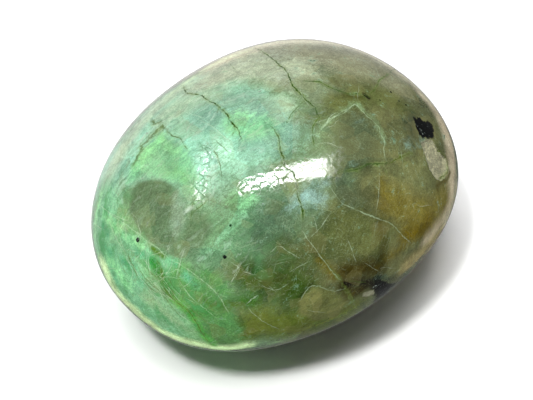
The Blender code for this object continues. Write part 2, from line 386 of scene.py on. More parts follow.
        (446, 176), (441, 181), (436, 179), (430, 170), (427, 160), (424, 151))),
    "crazed left of the bar": ("crazed", 0.9, 0.9, 1.0, ((232, 192), (258, 184), (284, 176))),
    "crazed left streak": ("crazed", 1.0, 0.6, 0.9, ((206, 150), (203, 175), (198, 210))),
    "crazed middle of the bar": ("crazed", 0.8, 0.9, 0.5, ((276, 176), (310, 168), (336, 162))),
    "dulled right end of the bar": ("dulled", 0.35, 0.6, 1.0, ((340, 152), (335, 176))),
    "dulled left streak": ("dulled", 1.0, 0.5, 1.0, ((209, 148), (204, 170), (202, 184), (197, 208))),
    "scratched lower middle": ("scratched", 4.5, 3.0, 0.45, ((215, 250), (270, 265), (320, 230))),
    "scratched left": ("scratched", 3.0, 3.0, 0.45, ((130, 260), (170, 220), (190, 160))),
    "scratched right": ("scratched", 3.0, 3.0, 0.3, ((380, 150), (400, 220), (340, 300))),
    "filaments lower left": ("filaments", 3.2, 2.0, 1.0, ((100, 220), (120, 265), (150, 295), (185, 310))),
    "filaments middle": ("filaments", 3.0, 2.0, 0.25, ((215, 150), (240, 230), (270, 270))),
    "streaks on the left": ("streaks", 4.0, 3.0, 1.0, ((130, 160), (180, 120), (225, 90))),
    "streaks in the middle": ("streaks", 3.0, 2.5, 0.7, ((200, 180), (240, 160), (280, 130))),
    "streaks low": ("streaks", 2.5, 2.5, 0.6, ((170, 260), (220, 270))),
}

# The zones out of the photograph's sight, with their points as azimuths and elevations.
HIDDEN_ZONES = {
    "olive under the right": ("olive ground", 4.0, 2.6, 1.0, (
        (-95, -48), (-68, -34), (-42, -18), (-22, -8), (-14, -34), (-20, -58))),
    "olive behind the right": ("olive ground", 3.2, 2.6, 1.0, ((-12, 26), (4, 8), (14, -14), (6, -36))),
    "green under the left": ("green ground", 3.6, 2.6, 1.0, (
        (172, -8), (-175, -30), (-160, -48), (-120, -62))),
    "mint behind the left": ("mint ground", 3.4, 2.6, 1.0, ((140, 22), (132, 0), (120, -22), (128, -42))),
    "tan behind the top": ("tan", 2.8, 2.2, 1.0, ((92, 38), (62, 32), (34, 34), (14, 40))),
    "pale tan across the back": ("pale tan", 2.0, 1.8, 0.9, ((108, 20), (84, 8), (58, 4), (34, 12))),
    "grey patch at the back": ("pale grey", 1.2, 1.2, 1.0, ((66, -14), (50, -20), (42, -34))),
    "grey green at the back": ("grey green", 2.2, 1.8, 1.0, ((98, -20), (84, -38), (96, -58))),
    "dull green at the back": ("dull green", 2.0, 1.8, 1.0, ((60, -48), (36, -56), (10, -66))),
    "khaki behind": ("khaki", 1.6, 1.4, 1.0, ((22, 0), (28, -18), (20, -34))),
    "ochre tan behind": ("ochre tan", 1.3, 1.3, 1.0, ((-6, 4), (-2, -14), (-16, -26))),
    "low olive under": ("low olive", 1.8, 1.5, 1.0, ((-112, -44), (-92, -56))),
    "low tan under the right": ("low tan", 1.2, 1.2, 1.0, ((-52, -30), (-34, -38), (-30, -54))),
    "moss under": ("moss", 1.6, 1.6, 1.0, ((-132, -58), (-112, -72), (-70, -80))),
    "aqua behind the left": ("aqua", 1.3, 1.4, 0.9, ((118, 12), (108, -4), (112, -22))),
    "mint behind": ("mint", 1.4, 1.1, 1.0, ((146, 6), (150, -14), (142, -32))),
    "mint band under": ("mint", 0.8, 0.8, 1.0, ((172, -22), (162, -40), (140, -54))),
    "bright mint behind": ("bright mint", 0.5, 0.8, 0.9, ((152, -4), (158, -20))),
    "pale green under": ("pale green", 0.8, 1.0, 0.8, ((-140, -52), (-150, -66))),
    "green under": ("green", 1.4, 1.2, 1.0, ((-168, -38), (175, -52), (150, -66))),
    "deep green under": ("deep green", 0.5, 0.8, 0.9, ((-150, -40), (-162, -54), (178, -64))),
    "yellow green under": ("yellow green", 0.25, 0.4, 0.8, ((168, -30), (158, -40))),
    "smoke behind": ("smoke", None, 0.7, 1.0, (
        (80, -2), (66, -4), (58, -14), (68, -26), (82, -22), (90, -12))),
    "smoke under": ("dark smoke", None, 1.0, 1.0, ((40, -66), (0, -74), (-20, -84), (90, -82), (100, -70))),
    "milky patch behind": ("milk", 0.6, 0.9, 0.9, ((36, -8), (44, -2))),
    "ochre under": ("ochre", 0.8, 1.1, 1.0, ((-62, -58), (-40, -66), (-28, -74))),
    "brown under": ("brown", 0.5, 0.9, 0.9, ((-74, -52), (-62, -62))),
    "rust behind": ("rust", 0.3, 0.6, 0.9, ((2, -22), (6, -28))),
    "halo behind": ("halo", 0.4, 0.8, 0.9, ((24, -22), (36, -32))),
    "black grain behind": ("black", 0.35, 0.35, 1.0, ((28, -26), (32, -29))),
    "scratched back": ("scratched", 5.0, 3.0, 0.4, ((90, 0), (50, -20), (10, -20))),
    "scratched under": ("scratched", 5.0, 3.0, 0.4, ((-90, -60), (0, -80))),
    "cells under the left": ("filaments", 3.4, 2.4, 1.0, ((180, -20), (-165, -45), (160, -60))),
    "streaks behind the left": ("streaks", 4.0, 3.0, 1.0, ((130, 30), (120, 0), (116, -30))),
}

# Lines out of the photograph's sight: the shortest and longest of each kind and their waver.
HIDDEN_LINES = {
    "light vein": (3.0 * MM, 9.0 * MM, 0.16),
    "healed crack": (3.0 * MM, 8.0 * MM, 0.22),
    "open crack": (2.5 * MM, 8.0 * MM, 0.26),
    "pale hair": (2.0 * MM, 6.0 * MM, 0.12),
    "rusty crack": (2.0 * MM, 5.0 * MM, 0.24),
}
HIDDEN_LINE_COUNT = 60
WALK_STEP = 0.6 * MM
# How squarely such a line may face the camera where it starts, and where it ends, as a cosine.
HIDDEN_START = -0.05
HIDDEN_END = 0.02
SHORTEST_WALK = 3

# The net of threads at the lower left: the corners of its area in pixels, then each kind with
# its count and its lean in degrees, then their lengths, how far they stray from the lean, and
# their waver.
NET_CORNERS = ((96, 204), (128, 232), (176, 268), (222, 312), (226, 346), (160, 330), (112, 288), (96, 240))
NET_LINES = (
    ("pale hair", 12, -44),
    ("pale hair", 8, 28),
    ("pale hair", 8, 80),
    ("light vein", 5, -40),
    ("green hair", 9, -60),
)
NET_LENGTHS = (0.9 * MM, 3.2 * MM)
NET_STRAY = 16
NET_WAVER = 0.26

# Short fine flaws all over, and the share of them that is dark.
HAIR_COUNT = 110
HAIR_LENGTHS = (0.6 * MM, 2.6 * MM)
HAIR_WAVER = 0.10
DARK_HAIR_SHARE = 0.2

# Short cracks that leave the open ones: their gaps, lengths, angles in degrees and bends in
# radians, and how many steps of the open crack stay clear at its start and its end.
SIDE_CRACK_GAPS = (0.6 * MM, 1.5 * MM)
SIDE_CRACK_LENGTHS = (0.25 * MM, 1.0 * MM)
SIDE_CRACK_ANGLES = (25, 75)
SIDE_CRACK_BEND = 0.3
SIDE_CRACK_START = 2
SIDE_CRACK_END = 8

# What is spread over the whole stone starts a golden angle apart, give or take, in degrees.
GOLDEN_ANGLE = 137.508
SPREAD_JITTER = 25
SEEDS = {"side cracks": 11, "hidden lines": 5, "hidden starts": 3, "net": 21, "hairs": 8, "hair starts": 9}

# The granular pocket: its depth, how far in from its rim it slopes, and its grains, which are
# lumps of this size and height about a middle level, full this share of the slope from the rim.
POCKET_DEPTH = 0.30 * MM
POCKET_SLOPE = 0.45 * MM
POCKET_GRAIN = 0.22 * MM
LUMP_HEIGHT = 0.09 * MM
LUMP_MIDDLE = 0.4
LUMPS_FULL = 0.25

# Small holes: each pinhole's pixel and radius, the notch in the upper crack as a ribbon, and
# how deep they all go, as a share of their radius.
PINHOLES = {
    "in the mint band": ((138, 240), 0.17 * MM),
    "in the grey green": ((224.5, 257), 0.15 * MM),
    "in the middle mint": ((230.5, 225.5), 0.10 * MM),
    "low left": ((165, 321), 0.08 * MM),
    "top right a": ((391, 92), 0.10 * MM),
    "top right b": ((380, 100), 0.09 * MM),
    "top right c": ((399, 101), 0.07 * MM),
    "top right d": ((406, 105), 0.07 * MM),
    "by the middle crack": ((287, 122), 0.08 * MM),
}
NOTCH = ((364, 94), (369, 98))
NOTCH_RADIUS = 0.16 * MM
HOLE_DEPTH = 0.3

# Lines are kept in layers. Two whose reaches come nearer than this gap go to different ones
# where they can.
LINE_LAYERS = 9
LAYER_GAP = 0.20 * MM
LINE_MARGIN = 1.2 * MM
LINE_STEP = 0.05 * MM
# A line fades past its ends, and it starts at a share of its strength and gains over a taper.
LINE_END_FADE = 0.25 * MM
LINE_END_SHARE = 0.35
LINE_TAPER = 0.9 * MM
# Where there is no line: the distance in half widths, the strength and the tint.
NO_LINE = (40.0, 0.0, 0.5)
# An open crack's groove reaches this many half widths, and its colour strays from its course by
# this many for a whole unit of noise.
GROOVE_REACH = 1.8
LINE_WOBBLE = 9.0

# How the skin is worked out: the rounds of a search, the share of its way to the middle that a
# pixel off the stone moves at a time, the points of each stretch of a curve, the least points
# of a course, the margin round an outline, and a way that no outline faces.
BEARING_ROUNDS = 12
PIXEL_PULL = 0.01
CURVE_POINTS = 24
LEAST_POINTS = 4
AREA_MARGIN = 2.0 * MM
ASKEW = (0.3, 0.2, 0.9)

# The mesh is made finer this near to all lines and outlines, and again near what is hollow.
REFINE_REACH = 0.32 * MM
HOLLOW_REACH = 0.10 * MM

# The finish's patterns. Sizes are in millimetres. A slow swirl bends the spaces that they run in.
SWIRL_SIZE = 2.2
SWIRL_DETAIL = 4.0
SWIRL_REACHES = {"bent": 2.0, "eased": 0.5}
NOISE_MIDDLE = 0.5

# Noises: the space, the size of a blotch, the finer octaves and their roughness. The grit of a
# tumbled skin is finer than this: it is drawn as coarse as it needs to show.
NOISES = {
    "drift": ("bent", 4.5, 3.0, 0.50),
    "cloud": ("bent", 1.33, 6.0, 0.62),
    "mottle": ("bent", 0.45, 6.0, 0.70),
    "grit": ("plain", 0.10, 2.0, 0.60),
    "wobble": ("plain", 0.53, 4.0, 0.75),
    "fade": ("plain", 0.59, 4.0, 0.70),
}

# Noises drawn out along a lean, in degrees in the photograph's plane: the space, the lean, the
# length and width of a streak, and the finer octaves. The cleavage leans at 41 degrees. The
# scratches are drawn as wide as they need to show.
DRAWN_NOISES = {
    "streak": ("bent", 41, 4.2, 0.36, 5.0),
    "grain": ("eased", 41, 1.6, 0.13, 2.0),
    "scratch a": ("eased", -28, 2.4, 0.10, 1.0),
    "scratch b": ("eased", 12, 2.4, 0.10, 1.0),
    "scratch c": ("eased", 74, 2.4, 0.10, 1.0),
}
DRAWN_ROUGHNESS = 0.65

# Blocks with straight sides, and seams between cells: the space and the size of a cell.
BLOCKS = {"large block": ("eased", 3.1), "small block": ("eased", 1.2), "sugar": ("plain", 0.24)}
SEAMS = {"craze": ("bent", 0.9), "tear": ("eased", 0.62), "sugar seam": ("plain", 0.24)}

# Patterns read from others: the pattern, where it begins and is full, and the values there.
# Lines fade and swell, cracks are stained in places, the polish is thinner in smudges, and in
# the crazed patches the skin is torn along seams. The grains stand up between their seams.
READINGS = {
    "line strength": ("fade", 0.36, 0.56, 0.30, 1.0),
    "line thinness": ("fade", 0.36, 0.64, 1.5, 0.85),
    "stained places": ("cloud", 0.42, 0.58, 0.0, 1.0),
    "smudged polish": ("mottle", 0.35, 0.75, 0.05, 0.11),
    "squiggle": ("tear", 0.10, 0.03, 0.0, 1.0),
    "torn skin": ("tear", 0.0, 0.30, 0.0, 0.6),
    "rounded grains": ("sugar seam", 0.0, 0.35, 0.0, 4.0),
}

# How much each noise makes the zones' edges ragged.
RAGGED = {"grit": 0.4, "mottle": 1.0, "streak": 1.0, "cloud": 1.0}

# Lightening and darkening: the pattern, the darkest and lightest tone, and the zone.
TONES = (
    ("large block", 0.88, 1.12, "feldspar"),
    ("small block", 0.90, 1.10, "feldspar"),
    ("cloud", 0.80, 1.20, "feldspar"),
    ("mottle", 0.76, 1.24, "feldspar"),
    ("grain", 0.85, 1.15, "feldspar"),
    ("grit", 0.72, 1.28, "feldspar"),
    ("sugar", 0.75, 1.35, "grains"),
)
TONE_ENDS = {name: (0.0, 1.0) for name in BLOCKS} | {name: (0.3, 0.7) for name in NOISES | DRAWN_NOISES}

# Parts of a zone where a pattern shows: the zone, the pattern, and where it begins and is full.
PARTLY = {
    "netted": ("feldspar", "cloud", 0.45, 0.60),
    # Pale flecks in the black grains, partly painted glints.
    "flecked with painted glints": ("black", "mottle", 0.58, 0.64),
    "squiggled": ("crazed", "fade", 0.42, 0.52),
    "frosted": ("dulled", "mottle", 0.445, 0.54),
}

# Veils of colour: the pattern, where it begins and is full, its strength, its zone, its shade.
# They are warm blocks, pale silk and the dark gaps between, dark green cells, scratches in
# three directions, the faint net of craze, pale flecks in the black grains that are partly
# painted glints, and the sugary seams.
VEILS = (
    ("large block warmth", 0.6, 1.0, 0.16, "feldspar", "#8a8350"),
    ("small block warmth", 0.6, 1.0, 0.16, "feldspar", "#8a8350"),
    ("streak", 0.54, 0.74, 0.60, "streaks", "#b9cdb9"),
    ("streak", 0.46, 0.30, 0.60, "streaks", "#5f8a68"),
    ("cloud", 0.50, 0.34, 0.75, "filaments", "#3f8a4c"),
    ("scratch a", 0.64, 0.74, 0.38, "scratched", "#a6bb94"),
    ("scratch b", 0.64, 0.74, 0.38, "scratched", "#a6bb94"),
    ("scratch c", 0.64, 0.74, 0.38, "scratched", "#a6bb94"),
    ("craze", 0.03, 0.0, 0.13, "netted", "#a9bb96"),
    ("grit", 0.52, 0.60, 1.0, "flecked with painted glints", "#8d9a92"),
    ("sugar seam", 0.10, 0.0, 0.6, "grains", "#5b5c45"),
)

# How a line is drawn. Its core begins and is full at these half widths, and a tint between
# these two turns from light to dark.
LINE_CORE = (1.5, 0.6)
DARK_TINTS = (0.7, 0.5)
# The shade on one side of a light vein: how far it reaches and where it is full, in half
# widths, its share and its colour.
VEIN_SHADE = (8.0, 0.5, 0.35, "#2f3b1a")
# Edges of a dark crack: how far each reaches and where it is full, in half widths, its share
# and its shade.
CRACK_EDGES = ((6.0, 1.5, 0.50, "#2f4214"), (3.6, 2.0, 0.20, "#a9c070"))
# The squiggles' share and shade: dark craze lines, partly painted gaps in the bar's reflection.
SQUIGGLES = (0.6, "#3f5f38")

# The polish: a feldspar's IOR, how much rougher it is in full grooves, squiggles, frosted
# patches and grains, and its specular level on the skin and down in the grooves.
FELDSPAR_IOR = 1.53
ROUGHER = {"groove": 0.30, "squiggle": 0.30, "frosted": 0.30, "grains": 0.5}
SHINE = (0.30, 0.02)

# Relief too fine for the mesh: the height of a whole unit, and the heights of grit and grooves.
RELIEF_HEIGHT = 0.010 * MM
GRIT_RELIEF = 0.02
GROOVE_RELIEF = -0.4

# The board, and the lamps: the way to each from the stone, its distance, its sides, the way
# that its long side lies, its radiance, and whether it lights the stone or only shows in the
# polish. The bar leans away to the left, so its reflection tapers there.
BOARD_SIZE = 3.0
LAMPS = {
    "bar": ((0.036, -0.147, 0.991), 0.5, (0.42, 0.078), (0.640, -0.268, -0.719), 50.0, "polish"),
    "left strip": ((-0.303, 0.362, 0.880), 0.6, (0.35, 0.050), (-0.755, -0.656, 0.0), 26.0, "polish"),
    "key": ((-0.413, -0.143, 0.899), 0.8, (0.084, 0.084), (0.548, 0.750, 0.370), 209.0, "light"),
    "soft key": ((-0.135, -0.099, 0.986), 0.8, (0.37, 0.37), (0.650, 0.742, 0.163), 14.7, "light"),
}

# The room: dim all round, with a pale part behind the stone, a little to its left and a little
# under the horizon. The way there is given along the camera's back, right and up. The cosines
# say where the pale part begins and is full, and the strengths how bright dim and pale are.
PALE_WAY = (-0.80, -0.35, 0.45)
GLOW_COSINES = (0.70, 0.96)
GLOW_STRENGTHS = (0.11, 0.9)


def direction(azimuth, elevation):
    """The unit vector at an azimuth from +X towards +Y and an elevation, in degrees."""
    azimuth, elevation = math.radians(azimuth), math.radians(elevation)
    level = math.cos(elevation)
    return np.array((level * math.cos(azimuth), level * math.sin(azimuth), math.sin(elevation)))


def unit(vectors):
    return vectors / np.linalg.norm(vectors, axis=-1, keepdims=True)


def worn_skin(towards):
    """The points of the worn skin that belong to unit vectors from the ovoid's centre."""
    points = towards * HALF_SIZES
    for azimuth, elevation, depth, spread in WORN_FACES:
        looks = direction(azimuth, elevation)
        near = np.exp(-(1 - towards @ looks) / spread)
        points -= depth * near[:, None] * looks
    level = REST_DEPTH - HALF_SIZES[2]
    above = points[:, 2] - level
    rounded = level + (above + REST_ROUND) ** 2 / (4 * REST_ROUND)
    points[:, 2] = np.where(above >= REST_ROUND, points[:, 2], np.where(above <= -REST_ROUND, level, rounded))
    return points


def outward(towards):
    """The way that the skin faces."""
    return unit(towards / HALF_SIZES)


def bearing_of(places):
    """The unit vectors whose skin points are the given places."""
    towards = unit(places / HALF_SIZES)
    for _ in range(BEARING_ROUNDS):
        towards = unit(towards + (places - worn_skin(towards)) / HALF_SIZES)
    return towards


def read_points(mesh):
    flat = np.empty(len(mesh.vertices) * 3)
    mesh.vertices.foreach_get("co", flat)
    return flat.reshape(-1, 3)


def write_points(mesh, points):
    mesh.vertices.foreach_set("co", points.ravel())
    mesh.update()


# The blank: a cube divided evenly and blown up to a ball, whose vertices are the unit vectors.
bpy.ops.object.select_all(action="DESELECT")
bpy.ops.mesh.primitive_cube_add(size=2)
stone = bpy.context.object
stone.name = "polished_pebble"
bpy.ops.object.mode_set(mode="EDIT")
bpy.ops.mesh.subdivide(number_cuts=SKIN_CUTS)
bpy.ops.object.mode_set(mode="OBJECT")
ball = unit(np.tan(read_points(stone.data) * math.pi / 4))
write_points(stone.data, ball)

# The ovoid's centre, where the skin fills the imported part's box.
low, high = (np.array(corner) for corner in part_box("tumbled_stone"))
blank_skin = worn_skin(ball)
centre = (low + high) / 2 - (blank_skin.min(0) + blank_skin.max(0)) / 2
skin_tree = BVHTree.FromPolygons(blank_skin.tolist(), [list(face.vertices) for face in stone.data.polygons])

# The camera's axes and place.
view_azimuth, view_elevation = math.radians(VIEW_AZIMUTH), math.radians(VIEW_ELEVATION)
camera_back = np.array((
    math.sin(view_azimuth) * math.cos(view_elevation),
    -math.cos(view_azimuth) * math.cos(view_elevation),
    math.sin(view_elevation)))
camera_right = np.array((math.cos(view_azimuth), math.sin(view_azimuth), 0.0))
camera_up = np.cross(camera_back, camera_right)
sideways = (CENTRE_PIXEL[0] - IMAGE_SIZE[0] / 2) / PIXELS_PER_METRE
upwards = (CENTRE_PIXEL[1] - IMAGE_SIZE[1] / 2) / PIXELS_PER_METRE
aim = centre - camera_right * sideways + camera_up * upwards
camera_place = aim + camera_back * VIEW_DISTANCE


def seen_at(pixels):
    """The unit vectors of the skin under points of the photograph."""
    places = []
    for x, y in pixels:
        hit = None
        while hit is None:
            across = (x - IMAGE_SIZE[0] / 2) / PIXELS_PER_METRE
            down = (y - IMAGE_SIZE[1] / 2) / PIXELS_PER_METRE
            through = aim + camera_right * across - camera_up * down
            hit = skin_tree.ray_cast(Vector(camera_place - centre), Vector(through - camera_place))[0]
            x += (CENTRE_PIXEL[0] - x) * PIXEL_PULL
            y += (CENTRE_PIXEL[1] - y) * PIXEL_PULL
        places.append(hit)
    return bearing_of(np.array(places))


def smooth_course(towards, step):
    """Skin points at even steps along a smooth curve through the unit vectors."""
    ends = np.vstack((2 * towards[0] - towards[1], towards, 2 * towards[-1] - towards[-2]))
    share = np.linspace(0, 1, CURVE_POINTS, endpoint=False)[:, None]
    pieces = []
    for a, b, c, d in zip(ends, ends[1:], ends[2:], ends[3:]):
        pieces.append(0.5 * (2 * b + (c - a) * share + (2 * a - 5 * b + 4 * c - d) * share ** 2
                             + (3 * b - a - 3 * c + d) * share ** 3))
    dense = worn_skin(unit(np.vstack(pieces + [towards[-1:]])))
    run = np.concatenate(([0.0], np.cumsum(np.linalg.norm(np.diff(dense, axis=0), axis=1))))
    even = np.linspace(0, run[-1], max(LEAST_POINTS, int(run[-1] / step)))
    return np.stack([np.interp(even, run, dense[:, axis]) for axis in range(3)], axis=1)


def measure(skin, course):
    """The skin points near a course, by number, with each one's signed distance from it, its
    run past the course's ends, and its run from the nearer end."""
    middle = (course.min(0) + course.max(0)) / 2
    reach = np.linalg.norm(course - middle, axis=1).max() + LINE_MARGIN
    near = np.flatnonzero(np.linalg.norm(skin - middle, axis=1) < reach)
    gaps = ((skin[near, None] - course[None]) ** 2).sum(2)
    nearest = gaps.argmin(1)
    ahead = unit(np.gradient(course, axis=0))
    side = unit(np.cross(outward(bearing_of(course)), ahead))
    offset = skin[near] - course[nearest]
    signed = (offset * side[nearest]).sum(1)
    past = np.abs((offset * ahead[nearest]).sum(1))
    past[(nearest > 0) & (nearest < len(course) - 1)] = 0
    from_end = np.minimum(nearest, len(course) - 1 - nearest) * LINE_STEP
    return near, signed, past, from_end


def ribbon_field(skin, course, radius):
    """How deep skin points lie inside a ribbon along a course."""
    distance = np.full(len(skin), np.inf)
    for a, b in zip(course, course[1:]):
        along = np.clip(((skin - a) @ (b - a)) / max((b - a) @ (b - a), 1e-12), 0, 1)
        distance = np.minimum(distance, np.linalg.norm(skin - a - along[:, None] * (b - a), axis=1))
    return radius - distance


def area_field(skin, outline):
    """How deep skin points lie inside an outline, seen square on from above its middle."""
    middle = outline.mean(0)
    facing = outward(bearing_of(middle[None]))[0]
    across = unit(np.cross(facing, ASKEW))
    along = np.cross(facing, across)
    reach = np.linalg.norm(outline - middle, axis=1).max() + AREA_MARGIN
    near = np.flatnonzero(np.linalg.norm(skin - middle, axis=1) < reach)
    flat = np.stack(((skin[near] - middle) @ across, (skin[near] - middle) @ along), axis=1)
    corners = np.stack(((outline - middle) @ across, (outline - middle) @ along), axis=1)
    distance = np.full(len(near), np.inf)
    inside = np.zeros(len(near), dtype=bool)
    for a, b in zip(corners, np.roll(corners, -1, axis=0)):
        share = np.clip(((flat - a) @ (b - a)) / ((b - a) @ (b - a)), 0, 1)
        distance = np.minimum(distance, np.linalg.norm(flat - a - share[:, None] * (b - a), axis=1))
        crosses = (a[1] > flat[:, 1]) != (b[1] > flat[:, 1])
        level = a[0] + (flat[:, 1] - a[1]) / (b[1] - a[1] + 1e-15) * (b[0] - a[0])
        inside ^= crosses & (flat[:, 0] < level)
    depth = np.full(len(skin), -np.inf)
    depth[near] = np.where(inside, distance, -distance)
    return depth


def zone_depth(skin, towards, radius):
    """How deep skin points lie inside a zone: a ribbon, or an outline that has no radius."""
    if radius is None:
        return area_field(skin, worn_skin(towards))
    return ribbon_field(skin, worn_skin(towards), radius * MM)


def step_over(towards, heading, length):
    """Goes on over the skin from a unit vector. Returns the new one and the heading there."""
    here = worn_skin(towards[None])[0]
    there = bearing_of((here + heading * length)[None])[0]
    facing = outward(there[None])[0]
    onwards = unit(heading - facing * (heading @ facing))
    return there, onwards


def walk(chance, start, length, waver, along=None):
    """The stops of a line that wanders over the skin from a unit vector."""
    facing = outward(start[None])[0]
    if along is None:
        along = np.cross(facing, np.array([chance.uniform(-1, 1) for _ in range(3)]))
    heading = unit(along - facing * (along @ facing))
    stops = [start]
    towards = start
    for _ in range(max(SHORTEST_WALK, round(length / WALK_STEP))):
        towards, heading = step_over(towards, heading, WALK_STEP)
        turn = chance.gauss(0, waver)
        facing = outward(towards[None])[0]
        heading = unit(heading * math.cos(turn) + np.cross(facing, heading) * math.sin(turn))
        stops.append(towards)
    return stops


def spread(count, seed):
    """Unit vectors spread evenly but loosely over the ball."""
    chance = random.Random(seed)
    for index in range(count):
        height = 1 - 2 * (index + chance.random()) / count
        azimuth = GOLDEN_ANGLE * index + chance.uniform(-SPREAD_JITTER, SPREAD_JITTER)
        yield direction(azimuth, math.degrees(math.asin(max(-1, min(1, height)))))


def seen_lines():
    """The lines of the side that the photograph shows, each with its kind."""
    return [(kind, smooth_course(seen_at(pixels), LINE_STEP)) for kind, pixels in SEEN_LINES.values()]


def hidden_lines():
    """Cracks and veins of the side that the photograph doesn't show, up to where it begins."""
    chance = random.Random(SEEDS["hidden lines"])
    made = []
    kinds = list(HIDDEN_LINES)
    for index, start in enumerate(spread(HIDDEN_LINE_COUNT, SEEDS["hidden starts"])):
        if start @ camera_back > HIDDEN_START:
            continue
        kind = kinds[index % len(kinds)]
        shortest, longest, waver = HIDDEN_LINES[kind]
        stops = walk(chance, start, chance.uniform(shortest, longest), waver)
        kept = [stops[0]]
        for towards in stops[1:]:
            if towards @ camera_back > HIDDEN_END:
                break
            kept.append(towards)
        if len(kept) > SHORTEST_WALK:
            made.append((kind, smooth_course(np.array(kept), LINE_STEP)))
    return made


def net_lines():
    """The net of pale and green threads in the part that the photograph shows at the lower left."""
    chance = random.Random(SEEDS["net"])
    made = []
    for kind, count, lean in NET_LINES:
        for _ in range(count):
            shares = np.array([chance.random() ** 2 for _ in NET_CORNERS])
            start = seen_at([(shares / shares.sum()) @ np.array(NET_CORNERS)])[0]
            angle = math.radians(lean + chance.uniform(-NET_STRAY, NET_STRAY))
            along = camera_right * math.cos(angle) + camera_up * math.sin(angle)
            stops = walk(chance, start, chance.uniform(*NET_LENGTHS), NET_WAVER, along)
            made.append((kind, smooth_course(np.array(stops), LINE_STEP)))
    return made


def side_cracks(open_lines):
    """Short hair cracks that leave the open cracks to either side."""
    chance = random.Random(SEEDS["side cracks"])
    made = []
    for kind, course in open_lines:
        run = chance.uniform(*SIDE_CRACK_GAPS) / 2
        while run < (len(course) - SIDE_CRACK_END) * LINE_STEP:
            index = int(run / LINE_STEP) + SIDE_CRACK_START
            ahead = unit(course[index + 2] - course[index - 2])
            side = np.cross(outward(bearing_of(course[index][None]))[0], ahead)
            angle = chance.choice((-1, 1)) * math.radians(chance.uniform(*SIDE_CRACK_ANGLES))
            bend = chance.uniform(-SIDE_CRACK_BEND, SIDE_CRACK_BEND)
            length = chance.uniform(*SIDE_CRACK_LENGTHS)
            stops = [course[index]]
            for turn in (angle, angle + bend, angle + 2 * bend):
                stops.append(stops[-1] + (ahead * math.cos(turn) + side * math.sin(turn)) * length / 3)
            made.append(("hair crack", smooth_course(bearing_of(np.array(stops)), LINE_STEP)))
            run += chance.uniform(*SIDE_CRACK_GAPS)
    return made


def hair_flaws():
    """Short fine flaws all over, most of them pale."""
    chance = random.Random(SEEDS["hairs"])
    made = []
    for start in spread(HAIR_COUNT, SEEDS["hair starts"]):
        kind = "hair crack" if chance.random() < DARK_HAIR_SHARE else "fine hair"
        stops = walk(chance, start, chance.uniform(*HAIR_LENGTHS), HAIR_WAVER)
        made.append((kind, smooth_course(np.array(stops), LINE_STEP)))
    return made


def stands_open(kind):
    return LINE_KINDS[kind][3] > 0


lines = seen_lines() + hidden_lines() + net_lines()
lines += side_cracks([line for line in lines if stands_open(line[0])])
lines += hair_flaws()

zones = []
for colour, radius, soft, strength, pixels in SEEN_ZONES.values():
    zones.append((colour, radius, soft * MM, strength, seen_at(pixels)))
for colour, radius, soft, strength, bearings in HIDDEN_ZONES.values():
    towards = np.array([direction(*bearing) for bearing in bearings])
    zones.append((colour, radius, soft * MM, strength, towards))

pinholes = [(worn_skin(seen_at([pixel]))[0], radius) for pixel, radius in PINHOLES.values()]
notch = worn_skin(seen_at(NOTCH))


def detail_gap(skin, all_lines):
    """How far skin points are from what is hollow or sharp, or from all the lines as well."""
    gap = np.full(len(skin), np.inf)
    for kind, course in lines:
        if all_lines or stands_open(kind):
            near, signed, past, _ = measure(skin, course)
            gap[near] = np.minimum(gap[near], np.hypot(signed, past))
    for colour, radius, _, _, towards in zones:
        if colour in ("grains", "black"):
            gap = np.minimum(gap, np.maximum(-zone_depth(skin, towards, radius), 0))
    for place, radius in pinholes:
        gap = np.minimum(gap, np.linalg.norm(skin - place, axis=1) - radius)
    return np.minimum(gap, -ribbon_field(skin, notch, NOTCH_RADIUS))


def refine(piece, reach, all_lines):
    """Halves the mesh's cells within reach of the stone's details."""
    mesh = piece.data
    gap = detail_gap(worn_skin(read_points(mesh)), all_lines)
    corners = np.empty(len(mesh.loops), dtype=np.int32)
    mesh.loops.foreach_get("vertex_index", corners)
    starts = np.empty(len(mesh.polygons), dtype=np.int32)
    mesh.polygons.foreach_get("loop_start", starts)
    chosen = np.minimum.reduceat(gap[corners], starts) < reach
    mesh.vertices.foreach_set("select", np.zeros(len(mesh.vertices), dtype=bool))
    mesh.edges.foreach_set("select", np.zeros(len(mesh.edges), dtype=bool))
    mesh.polygons.foreach_set("select", chosen)
    bpy.context.tool_settings.mesh_select_mode = (False, False, True)
    bpy.ops.object.mode_set(mode="EDIT")
    bpy.ops.mesh.subdivide(number_cuts=1)
    bpy.ops.object.mode_set(mode="OBJECT")
    write_points(mesh, unit(read_points(mesh)))


def layered_lines(skin, sunk):
    """The lines in layers, each a distance in half widths, a strength and a tint at every skin
    point. Cuts the open cracks' grooves into how far the skin is sunk."""
    layers = [np.tile(NO_LINE, (len(skin), 1)) for _ in range(LINE_LAYERS)]
    taken = [np.zeros(len(skin), dtype=bool) for _ in range(LINE_LAYERS)]
    for kind, course in lines:
        half_width, strength, tint, depth, reach = LINE_KINDS[kind]
        reach *= half_width
        near, signed, past, from_end = measure(skin, course)
        gap = np.hypot(signed, past)
        within = gap < reach + LAYER_GAP
        near, signed, past, from_end, gap = (part[within] for part in (near, signed, past, from_end, gap))
        weight = np.clip(2 - 2 * gap / reach, 0, 1) * np.clip(1 - past / LINE_END_FADE, 0, 1)
        weight *= strength * np.clip(LINE_END_SHARE + from_end / LINE_TAPER, 0, 1)
        number = min(range(LINE_LAYERS), key=lambda index: int(taken[index][near].sum()))
        taken[number][near] = True
        free = (layers[number][near, 1] <= weight) & (gap < reach)
        values = np.stack((signed / half_width, weight, np.full(len(near), tint)), axis=1)
        layers[number][near[free]] = values[free]
        groove = depth * np.clip(1 - (gap / (GROOVE_REACH * half_width)) ** 2, 0, 1)
        sunk[near] = np.maximum(sunk[near], groove)
    return layers


